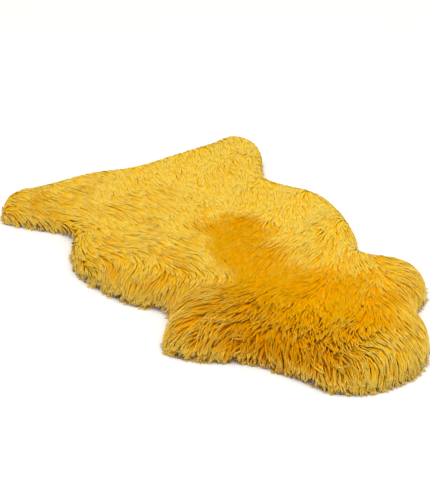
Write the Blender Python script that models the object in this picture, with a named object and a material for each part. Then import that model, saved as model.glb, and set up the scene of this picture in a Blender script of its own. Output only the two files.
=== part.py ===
"""A sheepskin rug lying flat: the tanned hide, and the long fleece that grows on it.

Run with: blender --background --python part.py

Units are metres. +X runs along the back line from the rump to the neck, +Y to the pelt's left
and +Z up. The origin is in the middle of the rug, on the surface that it lies on.
"""

import math
import random
from collections import namedtuple

import bmesh
import bpy
import numpy as np
from mathutils import Vector, geometry, noise

# The fleece's edge seen from above, lock tips included, walked anticlockwise from the neck.
EdgePoint = namedtuple("EdgePoint", "feature along across")
PELT_EDGE = (
    EdgePoint("neck tip", 0.475, 0.000),
    EdgePoint("neck, left", 0.451, 0.080),
    EdgePoint("neck root, left", 0.380, 0.144),
    EdgePoint("neck notch, left", 0.318, 0.166),
    EdgePoint("foreleg front, left", 0.271, 0.225),
    EdgePoint("foreleg tip, left", 0.216, 0.254),
    EdgePoint("foreleg back, left", 0.158, 0.239),
    EdgePoint("girth notch, left", 0.112, 0.204),
    EdgePoint("ribs, left", 0.042, 0.240),
    EdgePoint("belly front, left", -0.052, 0.270),
    EdgePoint("belly back, left", -0.133, 0.275),
    EdgePoint("flank, left", -0.194, 0.245),
    EdgePoint("flank notch, left", -0.243, 0.230),
    EdgePoint("thigh, left", -0.323, 0.261),
    EdgePoint("hind leg tip, left", -0.409, 0.305),
    EdgePoint("hind leg back, left", -0.472, 0.275),
    EdgePoint("rump edge, left", -0.462, 0.180),
    EdgePoint("rump edge, inner left", -0.452, 0.079),
    EdgePoint("tail", -0.446, 0.000),
    EdgePoint("rump edge, inner right", -0.462, -0.095),
    EdgePoint("rump edge, right", -0.451, -0.190),
    EdgePoint("hind leg back, right", -0.452, -0.262),
    EdgePoint("hind leg tip, right", -0.408, -0.297),
    EdgePoint("thigh, right", -0.345, -0.262),
    EdgePoint("flank notch, right", -0.277, -0.216),
    EdgePoint("flank, right", -0.205, -0.247),
    EdgePoint("belly back, right", -0.140, -0.270),
    EdgePoint("belly front, right", -0.050, -0.260),
    EdgePoint("ribs, right", 0.024, -0.236),
    EdgePoint("girth notch, right", 0.076, -0.201),
    EdgePoint("foreleg back, right", 0.130, -0.230),
    EdgePoint("foreleg tip, right", 0.186, -0.266),
    EdgePoint("foreleg front, right", 0.240, -0.236),
    EdgePoint("neck notch, right", 0.298, -0.163),
    EdgePoint("neck root, right", 0.371, -0.125),
    EdgePoint("neck, right", 0.446, -0.090),
)

HIDE_THICKNESS = 0.0025
FIT_GAP = 0.0003  # between the hide and the wool around it

# Each edge lies this far inside the fleece's outermost reach.
BODY_INSET = 0.011
FOOT_INSET = 0.017
HIDE_INSET = 0.026

# The fleece's body: a slab with a rounded shoulder and a lumpy top.
PILE_HEIGHT = 0.056
SIDE_HEIGHT = 0.016  # where its side reaches furthest out
SHOULDER_WIDTH = 0.044
LUMP_SPACING = 0.085
LUMP_HEIGHT = 0.010
TUFT_SPACING = 0.034
TUFT_HEIGHT = 0.006
SHOULDER_RINGS = (0.007, 0.019, 0.035)  # how far in from the body's rim
RIM_PITCH = 0.018
TOP_PITCH = 0.024

# The locks of wool that hang over the rim, with a three-cornered section, one flat side down.
LOCK_PITCH = 0.0165
LOCK_RADIUS = 0.0075
LOCK_LEAN = math.radians(10)
SHORTEST_REACH = 0.7  # of the full length past the rim
SMALLEST_GIRTH = 0.8
LOCK_SEED = 7
# Out from the body's rim and up from the floor. A blank height lies on the floor.
LockStation = namedtuple("LockStation", "out height share_of_radius")
LOCK_STATIONS = (
    LockStation(-0.022, 0.0400, 1.00),
    LockStation(-0.002, 0.0290, 1.00),
    LockStation(0.005, None, 0.80),
    LockStation(BODY_INSET, None, 0.25),
)

CURVE_STEPS = 24  # points on the smooth edge between two rows of the table
INSET_TOLERANCE = 0.03  # a moved point may be this share of the inset nearer to the loop
WELD_DISTANCE = 1e-5
CUTTER_OVERRUN = 0.005

Look = namedtuple("Look", "name colour roughness sheen")
WOOL = Look("dyed wool", (0.80, 0.43, 0.015), 0.85, 0.4)
SUEDE = Look("suede", (0.66, 0.53, 0.36), 0.9, 0.1)


def clear_scene():
    for item in list(bpy.data.objects):
        bpy.data.objects.remove(item, do_unlink=True)


def new_collection(name, shown=True):
    collection = bpy.data.collections.new(name)
    collection.hide_render = not shown
    bpy.context.scene.collection.children.link(collection)
    return collection


def add_object(name, data, collection):
    made = bpy.data.objects.new(name, data)
    collection.objects.link(made)
    return made


def material(look):
    made = bpy.data.materials.new(look.name)
    made.use_nodes = True
    shader = made.node_tree.nodes["Principled BSDF"]
    shader.inputs["Base Color"].default_value = (*look.colour, 1.0)
    shader.inputs["Roughness"].default_value = look.roughness
    shader.inputs["Metallic"].default_value = 0.0
    shader.inputs["Sheen Weight"].default_value = look.sheen
    return made


def evaluated_mesh(item):
    """The object's mesh as its curve settings or modifiers make it."""
    bpy.context.view_layer.update()
    graph = bpy.context.evaluated_depsgraph_get()
    return bpy.data.meshes.new_from_object(item.evaluated_get(graph))


def as_helper(item):
    item.hide_render = True
    item.display_type = "WIRE"


def evenly_spaced(loop, pitch):
    """A closed line again, with its points about one pitch apart."""
    closed = np.vstack([loop, loop[:1]])
    along = np.concatenate([[0.0], np.cumsum(np.linalg.norm(np.diff(closed, axis=0), axis=1))])
    count = round(along[-1] / pitch)
    at = np.linspace(0.0, along[-1], count, endpoint=False)
    return np.stack([np.interp(at, along, closed[:, axis]) for axis in (0, 1)], axis=1)


def outward(loop):
    """The unit normal at each point of a loop that runs anticlockwise."""
    along = np.roll(loop, -1, axis=0) - np.roll(loop, 1, axis=0)
    along /= np.linalg.norm(along, axis=1)[:, None]
    return np.stack([along[:, 1], -along[:, 0]], axis=1)


def depth_inside(points, loop):
    """How far each point is from a closed line."""
    points = np.asarray(points, float)
    ends = np.roll(loop, -1, axis=0) - loop
    lengths = (ends**2).sum(axis=1)
    away = points[:, None, :] - loop[None, :, :]
    share = np.clip((away * ends).sum(axis=2) / lengths, 0.0, 1.0)
    return np.linalg.norm(away - share[:, :, None] * ends, axis=2).min(axis=1)


def inset(loop, distance, pitch):
    """The loop moved inwards by a distance. Points that would come too near its other side go."""
    moved = loop - distance * outward(loop)
    kept = moved[depth_inside(moved, loop) > (1.0 - INSET_TOLERANCE) * distance]
    return evenly_spaced(kept, pitch)


def pelt_edge(collection):
    """The smooth closed line through the table's points, close-set."""
    curve = bpy.data.curves.new("pelt edge", "CURVE")
    curve.resolution_u = CURVE_STEPS
    spline = curve.splines.new("BEZIER")
    spline.bezier_points.add(len(PELT_EDGE) - 1)
    spline.use_cyclic_u = True
    for knot, row in zip(spline.bezier_points, PELT_EDGE):
        knot.co = (row.along, row.across, 0.0)
        knot.handle_left_type = knot.handle_right_type = "AUTO"
    guide = add_object("pelt_edge", curve, collection)
    as_helper(guide)
    points = [vertex.co.xy for vertex in evaluated_mesh(guide).vertices]
    return evenly_spaced(np.array(points), RIM_PITCH / 4)


def flat_outline(name, loop, bottom, top, collection):
    """A flat plate with the loop's outline, as a filled 2D curve."""
    curve = bpy.data.curves.new(name, "CURVE")
    curve.dimensions = "2D"
    curve.fill_mode = "BOTH"
    curve.extrude = (top - bottom) / 2
    spline = curve.splines.new("POLY")
    spline.points.add(len(loop) - 1)
    spline.use_cyclic_u = True
    for knot, (x, y) in zip(spline.points, loop):
        knot.co = (x, y, 0.0, 1.0)
    plate = add_object(name, curve, collection)
    plate.location.z = (top + bottom) / 2
    return plate


def as_mesh(item, collection):
    """A curve object as a mesh object in the same place, with its loose caps welded on."""
    bm = bmesh.new()
    bm.from_mesh(evaluated_mesh(item))
    bmesh.ops.remove_doubles(bm, verts=bm.verts, dist=WELD_DISTANCE)
    mesh = bpy.data.meshes.new(item.name)
    bm.to_mesh(mesh)
    bm.free()
    name, place = item.name, item.matrix_world.copy()
    bpy.data.objects.remove(item)
    made = add_object(name, mesh, collection)
    made.matrix_world = place
    return made


def lump(x, y):
    """How far the wool swells or sinks here: broad lumps, with smaller tufts on them."""
    broad = noise.noise(Vector((x, y, 0.0)) / LUMP_SPACING)
    tuft = noise.noise(Vector((x, y, 1.0)) / TUFT_SPACING)
    return LUMP_HEIGHT * broad + TUFT_HEIGHT * tuft


def surface_height(depth, x, y):
    """The height of the body's top at a depth in from its rim."""
    share = min(depth / SHOULDER_WIDTH, 1.0)
    rise = math.sqrt(1.0 - (1.0 - share) ** 2)
    return SIDE_HEIGHT + rise * (PILE_HEIGHT - SIDE_HEIGHT + lump(x, y))


def inside(point, loop):
    """Whether a point is inside the loop, by the crossings of a ray along +X."""
    start, end = loop, np.roll(loop, -1, axis=0)
    spans = (start[:, 1] > point[1]) != (end[:, 1] > point[1])
    start, end = start[spans], end[spans]
    share = (point[1] - start[:, 1]) / (end[:, 1] - start[:, 1])
    crossing = start[:, 0] + share * (end[:, 0] - start[:, 0])
    return (crossing > point[0]).sum() % 2 == 1


def triangular_grid(loop, pitch, margin):
    """Points on a triangular grid, at least the margin inside the loop."""
    low, high = loop.min(axis=0), loop.max(axis=0)
    row_pitch = pitch * math.sqrt(0.75)
    rows = []
    for row in range(math.ceil((high[1] - low[1]) / row_pitch)):
        x = np.arange(low[0] + pitch / 2 * (row % 2), high[0], pitch)
        rows.append(np.stack([x, np.full_like(x, low[1] + row * row_pitch)], axis=1))
    points = np.vstack(rows)
    points = points[[inside(point, loop) for point in points]]
    return points[depth_inside(points, loop) > margin]


def fleece_top(rim):
    """A triangulated sheet over the rim's outline, raised to the height of the pile."""
    rings = [inset(rim, depth, RIM_PITCH) for depth in SHOULDER_RINGS]
    field = triangular_grid(rim, TOP_PITCH, SHOULDER_RINGS[-1] + TOP_PITCH / 2)
    points = np.vstack([rim, *rings, field])
    flat, _, faces, _, _, _ = geometry.delaunay_2d_cdt(
        [Vector(point) for point in points], [], [list(range(len(rim)))], 1, WELD_DISTANCE
    )
    depths = depth_inside([tuple(point) for point in flat], rim)
    raised = [
        (point.x, point.y, surface_height(depth, point.x, point.y))
        for point, depth in zip(flat, depths)
    ]
    mesh = bpy.data.meshes.new("fleece")
    mesh.from_pydata(raised, [], faces)
    mesh.shade_smooth()
    return mesh


def close_to_floor(mesh, rim, foot):
    """Draws the sheet's edge down and in to the floor, and closes it with a flat underside."""
    bm = bmesh.new()
    bm.from_mesh(mesh)
    edges = [edge for edge in bm.edges if edge.is_boundary]
    drawn = bmesh.ops.extrude_edge_only(bm, edges=edges)["geom"]
    for vertex in (part for part in drawn if isinstance(part, bmesh.types.BMVert)):
        nearest = np.linalg.norm(rim - np.array(vertex.co.xy), axis=1).argmin()
        vertex.co = (*foot[nearest], 0.0)
    bmesh.ops.holes_fill(bm, edges=[edge for edge in bm.edges if edge.is_boundary])
    bmesh.ops.triangulate(bm, faces=[face for face in bm.faces if len(face.verts) > 3])
    bmesh.ops.recalc_face_normals(bm, faces=bm.faces)
    bm.to_mesh(mesh)
    bm.free()


def fleece_body(edge, collection):
    rim = inset(edge, BODY_INSET, RIM_PITCH)
    foot = rim - (FOOT_INSET - BODY_INSET) * outward(rim)
    mesh = fleece_top(rim)
    close_to_floor(mesh, rim, foot)
    return add_object("fleece", mesh, collection)


def lock_section(collection):
    """An equal-sided triangle with one corner up."""
    curve = bpy.data.curves.new("lock section", "CURVE")
    curve.dimensions = "2D"
    curve.fill_mode = "NONE"
    spline = curve.splines.new("POLY")
    spline.points.add(2)
    spline.use_cyclic_u = True
    for knot, angle in zip(spline.points, np.radians([90, 330, 210])):
        knot.co = (LOCK_RADIUS * math.cos(angle), LOCK_RADIUS * math.sin(angle), 0.0, 1.0)
    section = add_object("lock_section", curve, collection)
    as_helper(section)
    return section


def add_lock(curve, root, direction, reach, girth):
    """One tapering lock: out of the body's shoulder, down over the rim and level along the floor."""
    spline = curve.splines.new("POLY")
    spline.points.add(len(LOCK_STATIONS) - 1)
    for knot, station in zip(spline.points, LOCK_STATIONS):
        radius = LOCK_RADIUS * girth * station.share_of_radius
        height = radius * math.sin(math.pi / 6) if station.height is None else station.height
        out = station.out * (reach if station.out > 0 else 1.0)
        x, y = root + out * direction
        knot.co = (x, y, height, 1.0)
        knot.radius = radius / LOCK_RADIUS


def rim_locks(edge, collection):
    """The locks round the rim, each a strand that stands apart but for its root."""
    curve = bpy.data.curves.new("rim locks", "CURVE")
    curve.dimensions = "3D"
    curve.twist_mode = "Z_UP"
    curve.bevel_mode = "OBJECT"
    curve.bevel_object = lock_section(collection)
    curve.use_fill_caps = True
    rim = inset(edge, BODY_INSET, LOCK_PITCH)
    chance = random.Random(LOCK_SEED)
    for root, normal in zip(rim, outward(rim)):
        lean = chance.uniform(-LOCK_LEAN, LOCK_LEAN)
        turn = np.array([[math.cos(lean), -math.sin(lean)], [math.sin(lean), math.cos(lean)]])
        reach = chance.uniform(SHORTEST_REACH, 1.0)
        girth = chance.uniform(SMALLEST_GIRTH, 1.0)
        add_lock(curve, root, turn @ normal, reach, girth)
    locks = add_object("rim_locks", curve, collection)
    locks = as_mesh(locks, collection)
    as_helper(locks)
    return locks


def combine(item, other, operation):
    """A Boolean that allows for locks that cross their neighbours."""
    modifier = item.modifiers.new(other.name, "BOOLEAN")
    modifier.operation = operation
    modifier.object = other
    modifier.use_self = True


def centre_on_origin(parts):
    """Moves the whole rug so that its box is centred over the origin."""
    corners = np.vstack([[tuple(v.co) for v in evaluated_mesh(part).vertices] for part in parts])
    middle = (corners.min(axis=0) + corners.max(axis=0)) / 2
    for item in bpy.data.objects:
        item.location.x -= middle[0]
        item.location.y -= middle[1]


def build():
    clear_scene()
    rug = new_collection("sheepskin rug")
    helpers = new_collection("helpers", shown=False)
    edge = pelt_edge(helpers)

    hide_edge = inset(edge, HIDE_INSET, RIM_PITCH)
    hide = flat_outline("hide", hide_edge, 0.0, HIDE_THICKNESS, rug)
    hide.data.materials.append(material(SUEDE))

    bed_edge = hide_edge + FIT_GAP * outward(hide_edge)
    bed_top = HIDE_THICKNESS + FIT_GAP
    bed = flat_outline("hide_bed", bed_edge, -CUTTER_OVERRUN, bed_top, helpers)
    bed = as_mesh(bed, helpers)
    as_helper(bed)

    fleece = fleece_body(edge, rug)
    fleece.data.materials.append(material(WOOL))
    combine(fleece, rim_locks(edge, helpers), "UNION")
    combine(fleece, bed, "DIFFERENCE")
    centre_on_origin([hide, fleece])


build()
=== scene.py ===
"""The looks of a sheepskin rug: long dyed wool over its tanned hide, on a plain white floor.

Every length is in metres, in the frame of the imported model: +X along the back line from the
rump to the neck, +Y to the pelt's left, +Z up. The wool is grown here as closed strands, in
locks and tufts that lie along the nap and fall over the rim to the floor.
"""

import math
from collections import namedtuple

import bpy
import numpy as np
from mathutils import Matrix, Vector, geometry
from mathutils.bvhtree import BVHTree
from mathutils.kdtree import KDTree


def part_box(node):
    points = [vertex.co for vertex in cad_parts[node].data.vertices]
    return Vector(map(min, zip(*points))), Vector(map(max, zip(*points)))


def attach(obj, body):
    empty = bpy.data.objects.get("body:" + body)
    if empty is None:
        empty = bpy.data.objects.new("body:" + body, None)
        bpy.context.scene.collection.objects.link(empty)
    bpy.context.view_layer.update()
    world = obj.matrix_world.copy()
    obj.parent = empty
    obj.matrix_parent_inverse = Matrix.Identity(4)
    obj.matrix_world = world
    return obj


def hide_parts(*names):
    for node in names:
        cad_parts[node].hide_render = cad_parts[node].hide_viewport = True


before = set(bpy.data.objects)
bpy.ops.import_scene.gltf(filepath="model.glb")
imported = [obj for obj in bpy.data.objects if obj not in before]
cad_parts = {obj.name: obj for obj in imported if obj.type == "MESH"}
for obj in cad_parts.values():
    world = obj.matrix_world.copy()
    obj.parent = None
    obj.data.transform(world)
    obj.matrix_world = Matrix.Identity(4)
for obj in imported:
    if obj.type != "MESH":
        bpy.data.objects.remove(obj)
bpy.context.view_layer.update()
SEED = 11

# How the nap lies at places on the pelt. The heading is the way the tips point, in degrees from
# +X. A lean of 1 lies flat. The shag goes from 0, smooth, to 1, hanging in locks. The tone is
# below 0 where the wool is deep amber and above 0 where it is pale yellow. These tone patches are
# partly the wool's own uneven colour and partly painted sheen: the light and shade of the way the
# pile lies to the light, painted into the colour.
NapPlace = namedtuple("NapPlace", "name along across heading lean shag tone")
NAP = (
    NapPlace("rump", -0.40, -0.02, -17, 0.95, 0.02, 0.5),
    NapPlace("right thigh", -0.33, -0.16, 8, 0.95, 0.04, 0.5),
    NapPlace("right hind leg", -0.37, -0.26, 30, 0.95, 0.03, 0.0),
    NapPlace("left thigh", -0.33, 0.12, -28, 0.90, 0.02, 0.9),
    NapPlace("left hind leg", -0.39, 0.24, -35, 0.90, 0.02, 1.1),
    NapPlace("loin", -0.24, -0.04, -6, 0.95, 0.03, 0.5),
    NapPlace("right flank", -0.18, -0.14, 8, 0.95, 0.05, 0.5),
    NapPlace("left flank", -0.18, 0.12, -32, 0.90, 0.02, 0.8),
    NapPlace("right side", -0.07, -0.18, 30, 0.95, 0.08, 0.4),
    NapPlace("right groin", -0.14, -0.27, -12, 0.95, 0.12, 0.3),
    NapPlace("right belly", 0.02, -0.25, -108, 0.95, 0.22, 0.1),
    NapPlace("right elbow", 0.07, -0.23, -66, 0.95, 0.30, 0.15),
    NapPlace("middle back", -0.13, -0.06, 8, 0.95, 0.03, 0.6),
    NapPlace("right ribs", 0.03, -0.11, 10, 0.95, 0.12, 0.3),
    NapPlace("left ribs", -0.04, 0.20, -38, 0.90, 0.02, 1.1),
    NapPlace("left withers", 0.02, 0.12, -48, 0.90, 0.05, 0.5),
    NapPlace("withers", -0.07, 0.02, -62, 0.95, 0.01, -1.4),
    NapPlace("shoulders", 0.09, 0.02, -71, 0.98, 0.00, -1.5),
    NapPlace("left shoulder", 0.10, 0.10, -50, 0.95, 0.03, 0.8),
    NapPlace("neck root", 0.21, 0.01, -62, 0.98, 0.00, -1.4),
    NapPlace("left neck root", 0.22, 0.09, -50, 0.95, 0.02, -1.2),
    NapPlace("left foreleg", 0.24, 0.19, 40, 0.95, 0.06, 0.8),
    NapPlace("middle neck", 0.31, 0.04, -48, 0.95, 0.04, -1.3),
    NapPlace("nape", 0.30, 0.12, -10, 0.95, 0.03, 0.2),
    NapPlace("left neck", 0.40, 0.11, 20, 0.95, 0.08, 0.9),
    NapPlace("neck tip", 0.43, 0, -15, 0.95, 0.12, 1.5),
    NapPlace("right neck crest", 0.36, -0.05, -25, 0.50, 0.80, -0.6),
    NapPlace("right neck", 0.29, -0.05, -45, 0.95, 0.04, -1.0),
    NapPlace("right girth crest", 0.24, -0.14, -55, 0.60, 0.70, -0.6),
    NapPlace("right shoulder crest", 0.16, -0.15, -80, 0.90, 0.25, -0.4),
    NapPlace("right foreleg", 0.19, -0.22, -80, 0.90, 0.45, 0.6),
)
NAP_SPREAD = 0.075  # how far a place's say reaches
SWIRL = math.radians(14)  # how far the nap strays at random
SWIRL_SIZE = 0.11
BLOTCH = 0.24  # how far the tone strays at random
BLOTCH_SIZE = 0.07
TONE_EDGE = 1.8  # how sharply amber turns to yellow
TONE_REACH = 1.2

# The grids that the pelt's shape is read into.
FIELD_STEP = 0.004
FIELD_MARGIN = 0.12
OUTWARD_BLUR = 6
HEIGHT_CELL = 0.008
HEIGHT_BLUR = 6
FAR_BLUR = 200
RAY_START = 1.0
RIPPLE_SIZES = (0.7, 1.6)

# How many rounds bring places to a wanted depth.
ROUNDS_ON_FACE = 2
ROUNDS_FROM_EDGE = 4

# The outer face of the wool, cut across the rim: out of the floor by a hollow, up a wall, and
# over a shoulder to the top. A place on it is given by its arc length from the floor.
WALL_INSET = 0.0060
HOLLOW = 0.006
WALL_HEIGHT = 0.010
SHOULDER = 0.046
FLOOR_RUN = 0.05
TOP_RUN = 0.5
CURVE_POINTS = 24
ARC_STEP = 0.001
SLOPE_BLUR = 9

# How the nap turns outwards over the rim. It does so further up where it runs downhill.
TURN_START = 0.004
TURN_END = 0.034
DOWNHILL_TURN = 0.035
RIM_LEAN = 0.95
RIM_SIDEWAYS = 0.9
TIP_REACH = (-0.018, 0.003)  # how far out on the floor tips may lie, or, below 0, short of it

# The rim's wool is shaggier, and paler by painted light that lifts the rim's shaded walls,
# fully so up to the first of these arc lengths and not at all from the second.
RIM_START = 0.030
RIM_END = 0.065
RIM_SHAG = 2.5
RIM_PAINTED_LIGHT = 0.85

# Where wool grows. The locks nearest to a tuft gather towards its line.
TUFT_PITCH = 0.0105
LOCK_PITCH = 0.0068
JITTER = 0.36
LOWEST_ROOT = 0.0022
STRANDS_PER_LOCK = 4
MARCH_STEPS = 12

# The ranges of random draws, and the standard deviations of others.
LOCK_LENGTH = (0.046, 0.066)
LENGTH_SHARE = (0.84, 1.16)
LIFT_SHARE = (0.6, 1.2)
WAVE_SHARE = (0.4, 1.0)
WAVE_TURNS = (0.5, 1.4)
STRAND_RADIUS = (0.00062, 0.00095)
STRAND_TURN = (-0.1, 0.1)
STRAND_PLACE = (0.1, 1.0)
STRAND_SHIFT = (-0.15, 0.15)
STRAND_SLIP = (-0.6, 0.6)
REACH_DEVIATION = 0.002
STRAND_DEVIATION = 0.08
TUFT_TONE = 0.08
LOCK_TONE = 0.10
STRAND_TONE = 0.10

# What goes with the shag. The first value is for wool that lies smooth, and the second for wool
# that hangs in locks.
TUFT_TURN = (math.radians(3.0), math.radians(22.0))
LOCK_TURN = (math.radians(3.0), math.radians(10.0))
GATHER = (0.0, 0.93)
ROOT_DEPTH = (0.0018, 0.0125)
RISE_POWER = (1.2, 1.5)
TIP_LIFT = (0.0004, 0.0016)
WAVE = (0.0005, 0.0032)
LOCK_RADIUS = (0.0019, 0.0031)
OPENNESS = (0.45, 0.12)
STAGGER = (0.004, 0.002)
RIBBON_WIDTH = (1.25, 1.0)
RIBBON_HEIGHT = (0.4, 1.0)
ROLL = (0.2, math.pi)
SOFTNESS = (4.5, 1.5)
# The tips are paler and the roots deeper, partly as the wool's own colour and partly painted: in
# hanging locks this is stronger, as painted highlight on the tips and painted shade at the roots.
# Where the wool lies smooth the roots are paler.
TIP_PALENESS_AND_HIGHLIGHT = (0.5, 1.5)
ROOT_PALENESS = (0.30, 0.0)

# How a lock's form changes along it and across it.
GATHER_POWER = 1.6
CLOSING_POWER = 1.5
UPRIGHT_LIFT = 0.004
PALE_MIDDLE = 0.4
CROWN = 0.12
THICKNESS = 0.90

# The shading follows the face of the wool more than each strand's own sides. It leans to the
# sky, and near the floor the strands' sides show more.
SKYWARD = 0.9
SOFT_HEIGHT = 0.020
LEAST_SOFT = 0.2

# A strand's rings of corners, from its root to its tip, as shares of its length and radius.
Station = namedtuple("Station", "along girth")
STATIONS = (
    Station(0.00, 0.90),
    Station(0.45, 1.00),
    Station(0.78, 0.75),
    Station(1.00, 0.00),
)
ALONG = np.array([station.along for station in STATIONS])
GIRTH = np.array([station.girth for station in STATIONS])
SIDES = 3
UV_CAP = 0.12  # the share of a strand's picture that its root's end takes
UV_CAP_TIP = UV_CAP * 0.8
UV_MARGIN = 0.06

# The strands are joined in pieces of about the same size, from the rump to the neck.
ZONES = ("rump", "flank", "belly", "shoulder", "neck")

# The under-wool, a closed plate that the locks grow out of.
UNDERWOOL_EDGE = 0.012
UNDERWOOL_CELL = 0.007
UNDERWOOL_DEPTHS = (0.0022, 0.0085)
UNDERWOOL_DEEP_SHAG = 0.5
UNDERWOOL_ROUNDING = 0.96
TOP_LUMP_SIZE = 0.022
TOP_LUMP_HEIGHT = 0.0015
UNDERWOOL_RISE = 0.0025
UNDERSIDE_LUMP_SIZE = 0.012
UNDERSIDE_LUMPS = 0.6

# The hide, and how far the wool stays off it and off the floor.
HIDE_CELL = 0.010
EDGE_GAP = 0.6  # how near a plate's inner points come to its edge, in cells
HIDE_GAP = 0.0004
HIDE_CLEARANCE = 0.0040
HIDE_MARGIN = 0.012
FLOOR_CLEARANCE = 0.0003
DIP_SIZE = 0.16
DIP_DEPTH = 0.00012
DIP_INSET = 0.0002
DIP_LOWEST = 0.00005

# Colours, as stops along a ramp and as flat ones.
Stop = namedtuple("Stop", "position red green blue")
# Each wool ramp runs from root to tip. The red-orange of the root stops is partly painted: roots show
# in the shaded gaps, and their colour gives that shade the warm cast of light scattered deep in the
# pile.
AMBER_WOOL = (
    Stop(0.00, 0.82, 0.215, 0.000),
    Stop(0.40, 0.80, 0.280, 0.000),
    Stop(0.75, 0.67, 0.265, 0.000),
    Stop(1.00, 0.74, 0.325, 0.000),
)
PALE_WOOL = (
    Stop(0.00, 0.88, 0.270, 0.000),
    Stop(0.40, 0.90, 0.400, 0.002),
    Stop(0.75, 0.83, 0.455, 0.022),
    Stop(1.00, 0.96, 0.645, 0.115),
)
# The deep wool's warm orange is partly painted: it tints the shade in the gaps between locks with the
# colour of light scattered in the pile.
DEEP_WOOL = (
    Stop(0.10, 0.80, 0.270, 0.000),
    Stop(0.45, 0.90, 0.380, 0.001),
)
SMOOTH_SUEDE = (
    Stop(0.30, 0.56, 0.43, 0.27),
    Stop(0.70, 0.72, 0.60, 0.42),
)
ROUGH_SUEDE = (
    Stop(0.30, 0.47, 0.35, 0.21),
    Stop(0.70, 0.63, 0.51, 0.34),
)
FLOOR_COLOUR = (0.84, 0.87, 0.92, 1.0)
WORLD_COLOUR = (1.0, 0.91, 0.80, 1.0)

# The wool's colour by its tone and by fine streaks along each strand.
TONE_RANGE = (-1.0, 1.1)
STREAK_SCALE = (1000.0, 160.0, 1.0)
STREAK_RANGE = (0.3, 0.7)
STREAK_DEPTH = 0.11
SCATTER_DEPTH = 0.0007

# The floor, the softbox and the light of the room.
FLOOR_SIZE = 30.0
LAMP_SIZE = 3.0
LAMP_POWER = 38.0
LAMP_PLACE = Vector((0.45, -0.12, 2.6))
WORLD_STRENGTH = 1.04

# The camera, at the photograph's angle.
AZIMUTH = math.radians(59.28)
ELEVATION = math.radians(26.85)
DISTANCE = 2.827
AIM = Vector((-0.1026, 0.0076, 0.0))
LENS = 109.3
SENSOR = 36.0
CLIP_END = 60.0


def edge_seen_from_below(node):
    """The outline of a flat plate, read from the open edge of its underside."""
    digits = 5
    facing_down = -0.9
    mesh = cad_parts[node].data
    places, index = {}, []
    for vertex in mesh.vertices:
        key = tuple(round(value, digits) for value in vertex.co)
        index.append(places.setdefault(key, len(places)))
    sides = set()
    for face in mesh.polygons:
        if face.normal.z < facing_down:
            corners = [index[vertex] for vertex in face.vertices]
            sides.update(zip(corners, corners[1:] + corners[:1]))
    onward = {start: end for start, end in sides if (end, start) not in sides}
    points = list(places)
    start = min(onward)
    loop, here = [start], onward[start]
    while here != start:
        loop.append(here)
        here = onward[here]
    return np.array([points[corner][:2] for corner in reversed(loop)])


def signed_depth(places, loop):
    """How far each place is inside the loop, or, where negative, outside of it."""
    nearest = np.full(len(places), np.inf)
    inside = np.zeros(len(places), bool)
    for start, end in zip(loop, np.roll(loop, -1, axis=0)):
        side = end - start
        share = np.clip((places - start) @ side / (side @ side), 0.0, 1.0)
        gap = np.linalg.norm(places - start - share[:, None] * side, axis=1)
        nearest = np.minimum(nearest, gap)
        if start[1] != end[1]:
            straddles = (start[1] > places[:, 1]) != (end[1] > places[:, 1])
            crossing = start[0] + (places[:, 1] - start[1]) * side[0] / side[1]
            inside ^= straddles & (places[:, 0] < crossing)
    return np.where(inside, nearest, -nearest)


def blurred(grid, passes):
    """The grid with each value drawn towards its neighbours', over and over."""
    for _ in range(passes):
        wide = np.pad(grid, 1, mode="edge")
        sides = wide[:-2, 1:-1] + wide[2:, 1:-1] + wide[1:-1, :-2] + wide[1:-1, 2:]
        grid = (2 * grid + sides) / 6
    return grid


class Field:
    """Values on a square grid, read anywhere between its points."""

    def __init__(self, low, step, values):
        self.low = low
        self.step = step
        self.values = values

    def at(self, places):
        spot = (places - self.low) / self.step
        last = np.array(self.values.shape[:2]) - 2
        cell = np.clip(np.floor(spot).astype(int), 0, last)
        share = np.clip(spot - cell, 0.0, 1.0)
        x, y = cell.T
        u, v = share.T
        if self.values.ndim == 3:
            u, v = u[:, None], v[:, None]
        near = self.values[x, y] * (1 - u) + self.values[x + 1, y] * u
        far = self.values[x, y + 1] * (1 - u) + self.values[x + 1, y + 1] * u
        return near * (1 - v) + far * v


def grid_over(low, high, step):
    """The places of a square grid, and its shape."""
    xs = np.arange(low[0], high[0] + step, step)
    ys = np.arange(low[1], high[1] + step, step)
    x, y = np.meshgrid(xs, ys, indexing="ij")
    return np.stack([x.ravel(), y.ravel()], axis=1), x.shape


def ripples(rng, size, count=7):
    """A smooth random function of place, from about -1 to 1, with swells of about this size."""
    turns = rng.uniform(0, 2 * math.pi, count)
    waves = 2 * math.pi / (size * rng.uniform(*RIPPLE_SIZES, count))
    starts = rng.uniform(0, 2 * math.pi, count)

    def value(places):
        total = np.zeros(len(places))
        for turn, wave, start in zip(turns, waves, starts):
            along = places[:, 0] * math.cos(turn) + places[:, 1] * math.sin(turn)
            total += np.sin(along * wave + start)
        return total / math.sqrt(count)

    return value


HIDE_LOOP = edge_seen_from_below("hide")
HIDE_LOW, HIDE_HIGH = (np.array(corner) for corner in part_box("hide"))
WOOL_LOW, WOOL_HIGH = (np.array(corner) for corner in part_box("fleece"))
RIM_WIDTH = float(np.mean(WOOL_HIGH[:2] - WOOL_LOW[:2] - HIDE_HIGH[:2] + HIDE_LOW[:2])) / 2
HIDE_DEPTH = RIM_WIDTH - WALL_INSET


def depth_field():
    """How far each place is inside the wool's wall."""
    low, high = WOOL_LOW[:2] - FIELD_MARGIN, WOOL_HIGH[:2] + FIELD_MARGIN
    places, shape = grid_over(low, high, FIELD_STEP)
    values = signed_depth(places, HIDE_LOOP).reshape(shape) + HIDE_DEPTH
    return Field(low, FIELD_STEP, values)


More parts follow.
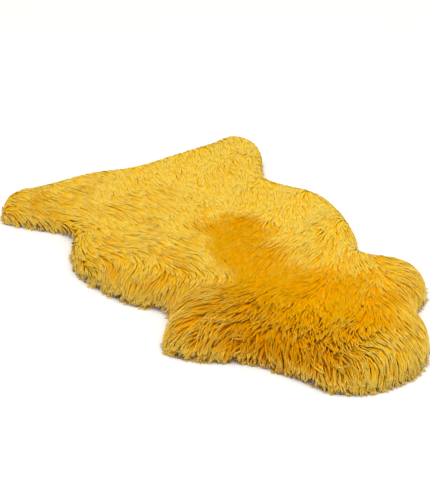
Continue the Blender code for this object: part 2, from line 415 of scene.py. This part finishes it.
def outward_field():
    """The way out of the pelt from each place, at no fixed length."""
    slopes = np.stack(np.gradient(blurred(DEPTH.values, OUTWARD_BLUR), FIELD_STEP), axis=2)
    return Field(DEPTH.low, FIELD_STEP, -slopes)


def outward_at(places):
    """The way out of the pelt, at length 1."""
    out = OUTWARD.at(places)
    return out / np.maximum(np.linalg.norm(out, axis=1), 1e-6)[:, None]


def height_field():
    """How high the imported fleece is, carried on over its shoulder to the rim, and on average."""
    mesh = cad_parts["fleece"].data
    corners = [vertex.co[:] for vertex in mesh.vertices]
    tree = BVHTree.FromPolygons(corners, [face.vertices[:] for face in mesh.polygons])
    places, shape = grid_over(DEPTH.low, WOOL_HIGH[:2] + FIELD_MARGIN, HEIGHT_CELL)
    known = DEPTH.at(places) > SHOULDER
    heights = np.zeros(len(places))
    for spot in np.flatnonzero(known):
        start = Vector((*places[spot], RAY_START))
        heights[spot] = tree.ray_cast(start, Vector((0, 0, -1)))[0].z
    values, weights = heights.reshape(shape), known.astype(float).reshape(shape)
    fine = blurred(values, HEIGHT_BLUR) / np.maximum(blurred(weights, HEIGHT_BLUR), 1e-9)
    far = blurred(values, FAR_BLUR) / np.maximum(blurred(weights, FAR_BLUR), 1e-9)
    near = np.clip(blurred(weights, HEIGHT_BLUR) * 2, 0.0, 1.0)
    return Field(DEPTH.low, HEIGHT_CELL, far * (1 - near) + fine * near), heights[known].mean()


def profile():
    """The outer face cut across the rim: arc length, depth, height and slope, from outside in."""
    turn = np.linspace(0, math.pi / 2, CURVE_POINTS)
    rise = PILE_HEIGHT - WALL_HEIGHT
    hollow = np.stack([HOLLOW * (np.sin(turn) - 1), HOLLOW * (1 - np.cos(turn))], axis=1)
    over = np.stack([SHOULDER * (1 - np.cos(turn)), WALL_HEIGHT + rise * np.sin(turn)], axis=1)
    floor_end = [[-HOLLOW - FLOOR_RUN, 0.0]]
    top_end = [[SHOULDER + TOP_RUN, PILE_HEIGHT]]
    line = np.vstack([floor_end, hollow, over, top_end])
    arc = np.concatenate([[0.0], np.cumsum(np.linalg.norm(np.diff(line, axis=0), axis=1))])
    arc -= FLOOR_RUN
    even = np.arange(-FLOOR_RUN, SHOULDER + PILE_HEIGHT + FLOOR_RUN, ARC_STEP)
    depth = np.interp(even, arc, line[:, 0])
    height = np.interp(even, arc, line[:, 1])
    slope = np.arctan2(np.gradient(height), np.gradient(depth))
    padded = np.pad(slope, SLOPE_BLUR // 2, mode="edge")
    slope = np.convolve(padded, np.ones(SLOPE_BLUR) / SLOPE_BLUR, mode="valid")
    return even, depth, height, slope


# The pelt's shape. On the flat top, arc length and depth differ by what the rim unrolls to.
DEPTH = depth_field()
OUTWARD = outward_field()
HEIGHT, PILE_HEIGHT = height_field()
ARC, ARC_DEPTH, ARC_HEIGHT, ARC_SLOPE = profile()
ARC_TOP = ARC[np.searchsorted(ARC_DEPTH, SHOULDER)]
UNROLLED = ARC_TOP - SHOULDER


def arc_depth(arc):
    """How far inside the wall a place on the outer face is, by its arc length from the floor."""
    return np.where(arc > ARC_TOP, arc - UNROLLED, np.interp(arc, ARC, ARC_DEPTH))


def nap_field(rng):
    """The nap's run, lean, shag and tone all over the pelt."""
    low = DEPTH.low
    places, shape = grid_over(low, WOOL_HIGH[:2] + FIELD_MARGIN, FIELD_STEP)
    spots = np.array([(place.along, place.across) for place in NAP])
    heading = np.radians([place.heading for place in NAP])
    run = np.stack([np.cos(heading), np.sin(heading)], axis=1)
    rest = np.array([(place.lean, place.shag, place.tone) for place in NAP])
    far = np.linalg.norm(places[:, None] - spots[None], axis=2)
    share = np.exp(-((far / NAP_SPREAD) ** 2)) + 1e-12
    share /= share.sum(axis=1)[:, None]
    run, rest = share @ run, share @ rest
    angle = np.arctan2(run[:, 1], run[:, 0]) + SWIRL * ripples(rng, SWIRL_SIZE)(places)
    rest[:, 2] += BLOTCH * ripples(rng, BLOTCH_SIZE)(places)
    rest[:, 2] = TONE_REACH * np.tanh(TONE_EDGE * rest[:, 2])
    values = np.column_stack([np.cos(angle), np.sin(angle), rest])
    return Field(low, FIELD_STEP, values.reshape(*shape, -1))


def scatter(pitch, rng):
    """Root places on the outer face, about one pitch apart on it: unrolled, in plan, and by arc."""
    low, high = WOOL_LOW[:2] - UNROLLED, WOOL_HIGH[:2] + UNROLLED
    row_pitch = pitch * math.sqrt(3) / 2
    rows = np.arange(low[1], high[1], row_pitch)
    columns = np.arange(low[0], high[0], pitch)
    x, y = np.meshgrid(columns, rows)
    x = x + np.where(np.arange(len(rows)) % 2, pitch / 2, 0.0)[:, None]
    flat = np.stack([x.ravel(), y.ravel()], axis=1)
    flat += rng.uniform(-JITTER, JITTER, flat.shape) * pitch
    arc = DEPTH.at(flat) + UNROLLED
    kept = arc > LOWEST_ROOT
    flat, arc = flat[kept], arc[kept]
    place = flat - (arc_depth(arc) - DEPTH.at(flat))[:, None] * outward_at(flat)
    return flat, on_face(place, arc), arc


def on_face(place, arc):
    """The places moved across the rim, to the depth that goes with their arc length."""
    for _ in range(ROUNDS_ON_FACE):
        off = DEPTH.at(place) - arc_depth(arc)
        place = place + np.where(arc < ARC_TOP, off, 0.0)[:, None] * outward_at(place)
    return place


def smooth_share(value, start, end):
    share = np.clip((value - start) / (end - start), 0.0, 1.0)
    return share * share * (3 - 2 * share)


def nap_at(nap, place, arc, out, turn):
    """The way the wool runs there, turned outwards over the rim. Its length is its lean."""
    here = nap.at(place)
    run = here[:, :2] / np.maximum(np.linalg.norm(here[:, :2], axis=1), 1e-6)[:, None]
    run = np.stack(
        [
            run[:, 0] * np.cos(turn) - run[:, 1] * np.sin(turn),
            run[:, 0] * np.sin(turn) + run[:, 1] * np.cos(turn),
        ],
        axis=1,
    )
    downhill = np.maximum((run * out).sum(axis=1), 0.0)
    start = TURN_START + DOWNHILL_TURN / 2 * downhill
    rim = 1 - smooth_share(arc, start, TURN_END + DOWNHILL_TURN * downhill)
    lean = here[:, 2]
    aside = run - out * (run * out).sum(axis=1)[:, None]
    over = out + RIM_SIDEWAYS * aside
    return run * (lean * (1 - rim))[:, None] + over * (RIM_LEAN * rim)[:, None]


def march(nap, root, start, length, turn):
    """Lines along the nap on the outer face: their places, normals, sides and leans, and end arcs."""
    place, arc = root.copy(), start.copy()
    step = length / MARCH_STEPS
    stops = []
    for _ in range(MARCH_STEPS + 1):
        out = outward_at(place)
        tangent = np.stack([-out[:, 1], out[:, 0]], axis=1)
        run = nap_at(nap, place, arc, out, turn)
        lean = np.linalg.norm(run, axis=1)
        down, across = (run * out).sum(axis=1), (run * tangent).sum(axis=1)
        slope = np.interp(arc, ARC, ARC_SLOPE)
        flat_down = np.column_stack([out * np.cos(slope)[:, None], -np.sin(slope)])
        flat_across = np.column_stack([tangent, np.zeros(len(tangent))])
        along = down[:, None] * flat_down + across[:, None] * flat_across
        along /= np.maximum(lean, 1e-6)[:, None]
        normal = np.column_stack([out * np.sin(slope)[:, None], np.cos(slope)])
        height = np.interp(arc, ARC, ARC_HEIGHT) * HEIGHT.at(place) / PILE_HEIGHT
        stops.append((np.column_stack([place, height]), normal, np.cross(normal, along), lean))
        onward = arc - step * down
        shift = arc_depth(arc) - arc_depth(onward)
        place = place + out * shift[:, None] + tangent * (step * across)[:, None]
        place = on_face(place, onward)
        arc = np.where(onward < ARC_TOP, onward, DEPTH.at(place) + UNROLLED)
    return tuple(np.stack(values, axis=1) for values in zip(*stops)), arc


def held_back(nap, root, start, length, turn, limit):
    """The same lines, cut shorter where they would lie too far out, and the share that is kept."""
    _, end = march(nap, root, start, length, turn)
    room = np.clip((start + limit) / np.maximum(start - end, 1e-6), 0.0, 1.0)
    room = np.where(end < -limit, room, 1.0)
    return march(nap, root, start, length * room, turn)[0], room


def at_stations(values):
    """The lines' values at the strands' stations."""
    spots = ALONG * MARCH_STEPS
    below = np.minimum(spots.astype(int), MARCH_STEPS - 1)
    share = (spots - below).reshape(-1, *[1] * (values.ndim - 2))
    return values[:, below] * (1 - share) + values[:, below + 1] * share


def rim_share(arc):
    """How far the wool there is the rim's, from 0 to 1."""
    return 1 - smooth_share(arc, RIM_START, RIM_END)


def shag_at(nap, place, arc):
    """How far the wool there hangs in locks, from 0 to 1. It does so more over the rim."""
    return np.clip(nap.at(place)[:, 3] * (1 + RIM_SHAG * rim_share(arc)), 0.0, 1.0)


def between(ends, share):
    return ends[0] + (ends[1] - ends[0]) * share


Tufts = namedtuple("Tufts", "flat lines length turn reach tone")


def grow_tufts(nap, rng):
    """The lines that the locks gather to, and the draws that a tuft's locks have in common."""
    flat, root, arc = scatter(TUFT_PITCH, rng)
    count = len(flat)
    length = rng.uniform(*LOCK_LENGTH, count)
    turn = rng.normal(0, 1, count) * between(TUFT_TURN, shag_at(nap, root, arc))
    reach = rng.uniform(*TIP_REACH, count)
    lines = held_back(nap, root, arc, length, turn, reach)[0][0]
    return Tufts(flat, lines, length, turn, reach, rng.normal(0, TUFT_TONE, count))


def nearest_tufts(tufts, flat):
    """The number of the tuft nearest to each root."""
    tree = KDTree(len(tufts.flat))
    for number, spot in enumerate(tufts.flat):
        tree.insert((*spot, 0.0), number)
    tree.balance()
    return np.array([tree.find((*spot, 0.0))[1] for spot in flat])


Locks = namedtuple("Locks", "centre normal side shag tone share root")


def grow_locks(nap, rng):
    """Each lock's centre line at the stations, with its frame, shag, tone and root's place."""
    tufts = grow_tufts(nap, rng)
    flat, root, arc = scatter(LOCK_PITCH, rng)
    mine = nearest_tufts(tufts, flat)
    count = len(flat)
    shag = shag_at(nap, root, arc)
    length = tufts.length[mine] * rng.uniform(*LENGTH_SHARE, count)
    turn = tufts.turn[mine] + rng.normal(0, 1, count) * between(LOCK_TURN, shag)
    reach = tufts.reach[mine] + rng.normal(0, REACH_DEVIATION, count)
    lines, room = held_back(nap, root, arc, length, turn, reach)

    place, normal, side, lean = (at_stations(values) for values in lines)
    gather = between(GATHER, shag)[:, None] * ALONG**GATHER_POWER
    place = place + gather[:, :, None] * (at_stations(tufts.lines)[mine] - place)
    lift = between(TIP_LIFT, shag) * rng.uniform(*LIFT_SHARE, count)
    lift += UPRIGHT_LIFT * np.clip(1 - lean[:, -1], 0.0, 1.0)
    sunk = (1 - ALONG) ** between(RISE_POWER, shag)[:, None]
    sunk *= between(ROOT_DEPTH, shag)[:, None]
    wave = between(WAVE, shag) * rng.uniform(*WAVE_SHARE, count)
    turns, phase = rng.uniform(*WAVE_TURNS, count), rng.uniform(0, 1, count)
    swing = np.sin(2 * math.pi * (turns[:, None] * ALONG + phase[:, None])) * ALONG
    centre = place + (lift[:, None] * ALONG - sunk)[:, :, None] * normal
    centre = centre + (wave[:, None] * swing)[:, :, None] * side

    # The tone from the nap table is partly the wool's own uneven colour and partly painted sheen.
    tone = nap.at(root)[:, 4] + tufts.tone[mine] + rng.normal(0, LOCK_TONE, count)
    # Painted light: the wool over the rim is made paler, lifting its shaded walls.
    tone += RIM_PAINTED_LIGHT * rim_share(arc)
    # Paler tips and deeper roots: partly the wool's own colour, partly painted highlight and shade in
    # the hanging locks.
    tone = tone[:, None] + between(TIP_PALENESS_AND_HIGHLIGHT, shag)[:, None] * (ALONG**2 - PALE_MIDDLE)
    covered = np.maximum(between(ROOT_PALENESS, shag), 1 - room)[:, None]
    share = ALONG + (1 - ALONG) * covered
    return Locks(centre, normal, side, shag, tone, share, root)


def clear_of_below(line, radius):
    """The strands' centre lines, lifted where they would sink into the hide or the floor."""
    depth = DEPTH.at(line[:, :, :2].reshape(-1, 2)).reshape(len(line), -1)
    lowest = np.where(depth > HIDE_MARGIN, HIDE_CLEARANCE, FLOOR_CLEARANCE) + radius
    line[:, :, 2] = np.maximum(line[:, :, 2], lowest)
    return line


def strand_of_each(locks, number, rng):
    """One strand of every lock: its corners, the way each is shaded, and its tone."""
    normal, side, shag = locks.normal, locks.side, locks.shag
    count = len(shag)
    spread = 1 - (1 - between(OPENNESS, shag))[:, None] * ALONG**CLOSING_POWER
    spread *= between(LOCK_RADIUS, shag)[:, None]
    turn = 2 * math.pi * (number / STRANDS_PER_LOCK + rng.uniform(*STRAND_TURN, count))
    out = np.sqrt(rng.uniform(*STRAND_PLACE, count))
    even = (2 * number + 1) / STRANDS_PER_LOCK - 1 + rng.uniform(*STRAND_SHIFT, count)
    aside = between((even, out * np.cos(turn)), shag)[:, None] * spread
    above = between((CROWN * (1 - even**2), THICKNESS * out * np.sin(turn)), shag)
    line = locks.centre + aside[:, :, None] * side
    line += (above[:, None] * spread)[:, :, None] * normal
    line += rng.normal(0, STRAND_DEVIATION, line.shape) * spread[:, :, None]
    slip = (rng.uniform(*STRAND_SLIP, count) - np.abs(even)) * between(STAGGER, shag)
    line += slip[:, None, None] * np.cross(side, normal)
    radius = rng.uniform(*STRAND_RADIUS, count)[:, None] * GIRTH
    line = clear_of_below(line, radius)

    wide = radius * between(RIBBON_WIDTH, shag)[:, None]
    high = radius * between(RIBBON_HEIGHT, shag)[:, None]
    roll = rng.uniform(-1.0, 1.0, count) * between(ROLL, shag)
    across = np.cos(roll)[:, None, None] * side + np.sin(roll)[:, None, None] * normal
    upward = np.cos(roll)[:, None, None] * normal - np.sin(roll)[:, None, None] * side
    soft = np.clip(line[:, :, 2] / SOFT_HEIGHT, LEAST_SOFT, 1.0)
    soft = between(SOFTNESS, shag)[:, None] * soft
    lit = normal + np.array([0.0, 0.0, SKYWARD])
    lit /= np.linalg.norm(lit, axis=2, keepdims=True)
    corners, shades = [], []
    for corner in range(SIDES):
        angle = math.pi / 2 + 2 * math.pi * corner / SIDES
        edge = (wide * math.cos(angle))[:, :, None] * across
        corners.append(line + edge + (high * math.sin(angle))[:, :, None] * upward)
        outward = math.cos(angle) * across + math.sin(angle) * upward
        shades.append(outward + soft[:, :, None] * lit)
    tone = locks.tone + rng.normal(0, STRAND_TONE, count)[:, None]
    return np.stack(corners, axis=2), np.stack(shades, axis=2), tone


def grow_strands(nap, rng):
    """Every strand's corners, shading, tones and shares of its length, from rump to neck."""
    locks = grow_locks(nap, rng)
    made = [strand_of_each(locks, number, rng) for number in range(STRANDS_PER_LOCK)]
    order = np.argsort(np.tile(locks.root[:, 0], STRANDS_PER_LOCK), kind="stable")
    corners, shades, tones = (np.concatenate(values)[order] for values in zip(*made))
    shares = np.tile(locks.share, (STRANDS_PER_LOCK, 1))[order]
    return corners, shades, tones, shares


def strand_pattern():
    """One strand's faces, by the number of each corner, and where those lie in its picture."""
    rings = len(STATIONS) - 1
    level = [UV_CAP + (1 - UV_CAP) * station.along for station in STATIONS]
    faces, spots = [], []
    for ring in range(rings):
        for side in range(SIDES):
            onward = (side + 1) % SIDES
            left, right = side / SIDES, (side + 1) / SIDES
            low, high = level[ring], level[ring + 1]
            base = [ring * SIDES + side, ring * SIDES + onward]
            if ring < rings - 1:
                faces.append([*base, base[1] + SIDES, base[0] + SIDES])
                spots.append([(left, low), (right, low), (right, high), (left, high)])
            else:
                faces.append([*base, rings * SIDES])
                spots.append([(left, low), (right, low), ((left + right) / 2, high)])
    faces.append(list(reversed(range(SIDES))))
    spots.append([(0.0, 0.0), (1.0, 0.0), (0.5, UV_CAP_TIP)])
    return faces, spots


def per_corner(values):
    """The values at each ring's corners, and then their mean at the tip."""
    rings = len(STATIONS) - 1
    body = values[:, :rings].reshape(len(values), -1, 3)
    return np.concatenate([body, values[:, rings].mean(axis=1, keepdims=True)], axis=1)


def strand_mesh(name, corners, shades, tones, shares):
    """One joined mesh of closed strands, with a picture cell of its own for each strand."""
    faces, spots = strand_pattern()
    count, rings = len(corners), len(STATIONS) - 1
    points = per_corner(corners)
    each = points.shape[1]
    sizes = np.array([len(face) for face in faces])
    loops = np.concatenate(faces)
    loops = (np.arange(count)[:, None] * each + loops).ravel()
    starts = np.concatenate([[0], np.cumsum(np.tile(sizes, count))[:-1]])

    mesh = bpy.data.meshes.new(name)
    mesh.vertices.add(count * each)
    mesh.vertices.foreach_set("co", points.ravel())
    mesh.loops.add(len(loops))
    mesh.loops.foreach_set("vertex_index", loops)
    mesh.polygons.add(len(starts))
    mesh.polygons.foreach_set("loop_start", starts)
    mesh.update(calc_edges=True)
    mesh.shade_smooth()
    shade = per_corner(shades).reshape(-1, 3)
    shade /= np.linalg.norm(shade, axis=1, keepdims=True)
    mesh.normals_split_custom_set_from_vertices(shade)

    columns = math.ceil(math.sqrt(count))
    cell = np.stack([np.arange(count) % columns, np.arange(count) // columns], axis=1)
    inner = UV_MARGIN + (1 - 2 * UV_MARGIN) * np.concatenate(spots)
    picture = (cell[:, None] + inner[None]) / columns
    layer = mesh.uv_layers.new(name="OFBake")
    layer.uv.foreach_set("vector", picture.ravel())

    for title, values in (("length_share", shares), ("tone", tones)):
        ringed = np.repeat(values[:, :rings], SIDES, axis=1)
        set_values(mesh, title, np.column_stack([ringed, values[:, rings]]).ravel())
    return mesh


def set_values(mesh, name, values):
    layer = mesh.attributes.new(name, "FLOAT", "POINT")
    layer.data.foreach_set("value", values)


def plate(name, loop, cell, top, bottom):
    """A closed body over the loop. Its top and bottom heights are functions of place."""
    low, high = loop.min(axis=0), loop.max(axis=0)
    places, _ = grid_over(low, high, cell)
    inner = places[signed_depth(places, loop) > cell * EDGE_GAP]
    points = [Vector(place) for place in np.vstack([loop, inner])]
    ring = list(range(len(loop)))
    edges = list(zip(ring, ring[1:] + ring[:1]))
    flat, _, faces, *_ = geometry.delaunay_2d_cdt(points, edges, [], 1, 1e-6)
    flat = np.array([point[:] for point in flat])
    faces = [list(face) for face in faces]
    count = len(flat)
    upper = np.column_stack([flat, top(flat)])
    lower = np.column_stack([flat, bottom(flat)])
    sides = {(a, b) for face in faces for a, b in zip(face, face[1:] + face[:1])}
    rim = sorted((a, b) for a, b in sides if (b, a) not in sides)
    walls = [[b, a, a + count, b + count] for a, b in rim]
    under = [[corner + count for corner in reversed(face)] for face in faces]
    mesh = bpy.data.meshes.new(name)
    mesh.from_pydata(np.vstack([upper, lower]).tolist(), [], faces + under + walls)
    mesh.update()
    return mesh


def moved_out(loop, distance):
    """The loop at another distance from the hide's edge, its points moved along their normals."""
    wanted = HIDE_DEPTH - distance
    for _ in range(ROUNDS_FROM_EDGE):
        loop = loop + (DEPTH.at(loop) - wanted)[:, None] * outward_at(loop)
    return loop


def evenly_spaced(loop, pitch):
    """A closed line again, with its points about one pitch apart."""
    closed = np.vstack([loop, loop[:1]])
    along = np.concatenate([[0.0], np.cumsum(np.linalg.norm(np.diff(closed, axis=0), axis=1))])
    at = np.linspace(0.0, along[-1], round(along[-1] / pitch), endpoint=False)
    return np.stack([np.interp(at, along, closed[:, axis]) for axis in (0, 1)], axis=1)


def underwool_top(nap, rng):
    """Rounded up from the rim, lumpy, and deeper where the locks above it hang open."""
    lumps = ripples(rng, TOP_LUMP_SIZE)
    face = HIDE_HIGH[2] + HIDE_GAP

    def height(places):
        shag = np.clip(nap.at(places)[:, 3] / UNDERWOOL_DEEP_SHAG, 0.0, 1.0)
        out = (SHOULDER - DEPTH.at(places)) / (SHOULDER - UNDERWOOL_EDGE)
        out = np.clip(out, 0.0, UNDERWOOL_ROUNDING)
        full = HEIGHT.at(places) - between(UNDERWOOL_DEPTHS, shag) - face
        return face + full * np.sqrt(1 - out**2) + TOP_LUMP_HEIGHT * lumps(places)

    return height


def underwool_bottom(rng):
    """Flat over the hide, and lumpy and rising beyond the hide's edge."""
    lumps = ripples(rng, UNDERSIDE_LUMP_SIZE)
    face = HIDE_HIGH[2] + HIDE_GAP

    def height(places):
        beyond = (HIDE_DEPTH - DEPTH.at(places)) / (HIDE_DEPTH - UNDERWOOL_EDGE)
        lumpy = 1 + UNDERSIDE_LUMPS * np.clip(lumps(places), -1.0, 1.0)
        return face + UNDERWOOL_RISE * (np.clip(beyond, 0.0, 1.0) * lumpy)

    return height


def add_object(name, mesh, material):
    mesh.materials.append(material)
    made = bpy.data.objects.new(name, mesh)
    bpy.context.scene.collection.objects.link(made)
    return made


class Nodes:
    """A material's nodes, made and joined by name."""

    MIX_FIRST, MIX_SECOND, MIX_RESULT = 6, 7, 2  # the sockets that hold colours

    def __init__(self, name):
        self.material = bpy.data.materials.new(name)
        self.material.use_nodes = True
        self.tree = self.material.node_tree
        self.shader = self.tree.nodes["Principled BSDF"]

    def add(self, kind, **settings):
        node = self.tree.nodes.new("ShaderNode" + kind)
        for key, value in settings.items():
            setattr(node, key, value)
        return node

    def join(self, source, target):
        self.tree.links.new(source, target)

    def attribute(self, name):
        return self.add("Attribute", attribute_name=name).outputs["Fac"]

    def noise(self, scale, detail=3.0, roughness=0.55):
        node = self.add("TexNoise")
        node.inputs["Scale"].default_value = scale
        node.inputs["Detail"].default_value = detail
        node.inputs["Roughness"].default_value = roughness
        self.join(self.add("TexCoord").outputs["Object"], node.inputs["Vector"])
        return node.outputs["Fac"]

    def streaks(self, scale):
        """Fine lines that run along each strand, from its own picture."""
        wrap = self.add("UVMap", uv_map="OFBake")
        stretch = self.add("Mapping")
        stretch.inputs["Scale"].default_value = scale
        self.join(wrap.outputs["UV"], stretch.inputs["Vector"])
        node = self.add("TexNoise")
        node.inputs["Scale"].default_value = 1.0
        node.inputs["Detail"].default_value = 2.0
        self.join(stretch.outputs["Vector"], node.inputs["Vector"])
        return node.outputs["Fac"]

    def ramp(self, source, stops):
        node = self.add("ValToRGB")
        while len(node.color_ramp.elements) < len(stops):
            node.color_ramp.elements.new(0.5)
        for element, stop in zip(node.color_ramp.elements, stops):
            element.position = stop.position
            element.color = (stop.red, stop.green, stop.blue, 1.0)
        self.join(source, node.inputs["Fac"])
        return node.outputs["Color"]

    def mix(self, share, first, second):
        node = self.add("Mix", data_type="RGBA")
        self.join(share, node.inputs["Factor"])
        self.join(first, node.inputs[self.MIX_FIRST])
        self.join(second, node.inputs[self.MIX_SECOND])
        return node.outputs[self.MIX_RESULT]

    def spread(self, source, old_range, new_range=(0.0, 1.0)):
        """The source's values, with the old range of them stretched over the new one."""
        node = self.add("MapRange")
        self.join(source, node.inputs["Value"])
        names = ("From Min", "From Max", "To Min", "To Max")
        for name, value in zip(names, (*old_range, *new_range)):
            node.inputs[name].default_value = value
        return node.outputs["Result"]

    def maths(self, operation, first, second):
        node = self.add("Math", operation=operation)
        self.join(first, node.inputs[0])
        self.join(second, node.inputs[1])
        return node.outputs[0]

    def bump(self, height, distance):
        node = self.add("Bump")
        node.inputs["Distance"].default_value = distance
        self.join(height, node.inputs["Height"])
        self.join(node.outputs["Normal"], self.shader.inputs["Normal"])

    def shade(self, **values):
        """Sets the shader's own sockets, whose names have spaces for underscores."""
        for name, value in values.items():
            self.shader.inputs[name.replace("_", " ")].default_value = value


def strand_material():
    """Dyed wool: deeper in colour at the root, pale at the tip, more so where the tone is pale.
    This is partly the dyed wool's own colour and partly painted light: highlight at the tips, warm
    shade at the roots and sheen in the tone.
    """
    nodes = Nodes("dyed wool")
    length = nodes.attribute("length_share")
    streaks = nodes.streaks(STREAK_SCALE)
    stray = nodes.spread(streaks, STREAK_RANGE, (-STREAK_DEPTH, STREAK_DEPTH))
    share = nodes.maths("ADD", length, stray)
    amber = nodes.ramp(share, AMBER_WOOL)
    pale = nodes.ramp(share, PALE_WOOL)
    tone = nodes.spread(nodes.attribute("tone"), TONE_RANGE)
    nodes.join(nodes.mix(tone, amber, pale), nodes.shader.inputs["Base Color"])
    nodes.shade(Roughness=0.65, Specular_IOR_Level=0.0)
    nodes.shade(Subsurface_Weight=0.6, Subsurface_Scale=SCATTER_DEPTH)
    nodes.shade(Subsurface_Radius=(1.0, 1.0, 1.0))
    return nodes.material


def underwool_material():
    """The deep wool between the locks: dense, matt and deep orange. It looks dark only where the
    locks shade it, and its warm orange is partly painted light that tints that shade.
    """
    nodes = Nodes("deep wool")
    fine, wide = nodes.noise(scale=700.0), nodes.noise(scale=60.0)
    colour = nodes.ramp(nodes.maths("MULTIPLY", fine, wide), DEEP_WOOL)
    nodes.join(colour, nodes.shader.inputs["Base Color"])
    nodes.bump(fine, distance=0.002)
    nodes.shade(Roughness=0.85)
    return nodes.material


def hide_material():
    """The tanned hide's napped underside."""
    nodes = Nodes("suede hide")
    grain = nodes.noise(scale=900.0, detail=5.0, roughness=0.7)
    blotches = nodes.noise(scale=14.0, detail=4.0)
    smooth = nodes.ramp(blotches, SMOOTH_SUEDE)
    rough = nodes.ramp(blotches, ROUGH_SUEDE)
    colour = nodes.mix(nodes.spread(grain, (0.35, 0.65)), smooth, rough)
    nodes.join(colour, nodes.shader.inputs["Base Color"])
    nodes.bump(grain, distance=0.0006)
    nodes.shade(Roughness=0.9, Sheen_Weight=0.2)
    return nodes.material


def floor_material():
    nodes = Nodes("white floor")
    nodes.shade(Base_Color=FLOOR_COLOUR, Roughness=0.9, Specular_IOR_Level=0.0)
    return nodes.material


def add_wool(rng):
    """The strands in one piece for each zone, and the under-wool that they grow out of."""
    nap = nap_field(rng)
    made = grow_strands(nap, rng)
    look = strand_material()
    parts = np.array_split(np.arange(len(made[0])), len(ZONES))
    pieces = []
    for zone, part in zip(ZONES, parts):
        mesh = strand_mesh("wool_" + zone, *(values[part] for values in made))
        pieces.append(add_object("wool_" + zone, mesh, look))
    loop = evenly_spaced(moved_out(HIDE_LOOP, HIDE_DEPTH - UNDERWOOL_EDGE), UNDERWOOL_CELL)
    top = underwool_top(nap, rng)
    mesh = plate("deep_wool", loop, UNDERWOOL_CELL, top, underwool_bottom(rng))
    mesh.shade_smooth()
    pieces.append(add_object("deep_wool", mesh, underwool_material()))
    for piece in pieces:
        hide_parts("fleece")
        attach(piece, "root")


def add_hide(rng):
    """The hide, a plate whose top and underside are a little uneven."""
    dips = ripples(rng, DIP_SIZE)

    def top(places):
        return HIDE_HIGH[2] - DIP_INSET + DIP_DEPTH * dips(places)

    def bottom(places):
        return np.maximum(DIP_INSET + DIP_DEPTH * dips(places), DIP_LOWEST)

    loop = evenly_spaced(HIDE_LOOP, HIDE_CELL)
    mesh = plate("hide_leather", loop, HIDE_CELL, top, bottom)
    made = add_object("hide_leather", mesh, hide_material())
    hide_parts("hide")
    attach(made, "root")
    width, length = (float(value) for value in sorted((HIDE_HIGH - HIDE_LOW)[:2]))


def add_stage():
    """A white floor, with a round softbox high over the pelt that shines at its middle."""
    bpy.ops.mesh.primitive_plane_add(size=FLOOR_SIZE)
    floor = bpy.context.object
    floor.name = "floor"
    floor.data.materials.append(floor_material())
    light = bpy.data.lights.new("softbox", "AREA")
    light.shape = "DISK"
    light.size = LAMP_SIZE
    light.energy = LAMP_POWER
    lamp = bpy.data.objects.new("softbox", light)
    bpy.context.scene.collection.objects.link(lamp)
    lamp.location = LAMP_PLACE
    lamp.rotation_euler = (-LAMP_PLACE).to_track_quat("-Z", "Y").to_euler()


def add_world():
    """Even, faintly warm light from all round."""
    world = bpy.data.worlds.new("white room")
    world.use_nodes = True
    background = world.node_tree.nodes["Background"]
    background.inputs["Color"].default_value = WORLD_COLOUR
    background.inputs["Strength"].default_value = WORLD_STRENGTH
    bpy.context.scene.world = world
    bpy.context.scene.view_settings.view_transform = "Standard"


def add_camera():
    side, rise = math.cos(ELEVATION), math.sin(ELEVATION)
    back = Vector((math.sin(AZIMUTH) * side, -math.cos(AZIMUTH) * side, rise))
    lens = bpy.data.cameras.new("camera")
    lens.lens = LENS
    lens.sensor_width = SENSOR
    lens.clip_end = CLIP_END
    camera = bpy.data.objects.new("camera", lens)
    bpy.context.scene.collection.objects.link(camera)
    camera.location = AIM + DISTANCE * back
    camera.rotation_euler = back.to_track_quat("Z", "Y").to_euler()
    bpy.context.scene.camera = camera


random = np.random.default_rng(SEED)
add_wool(random)
add_hide(random)
add_stage()
add_world()
add_camera()
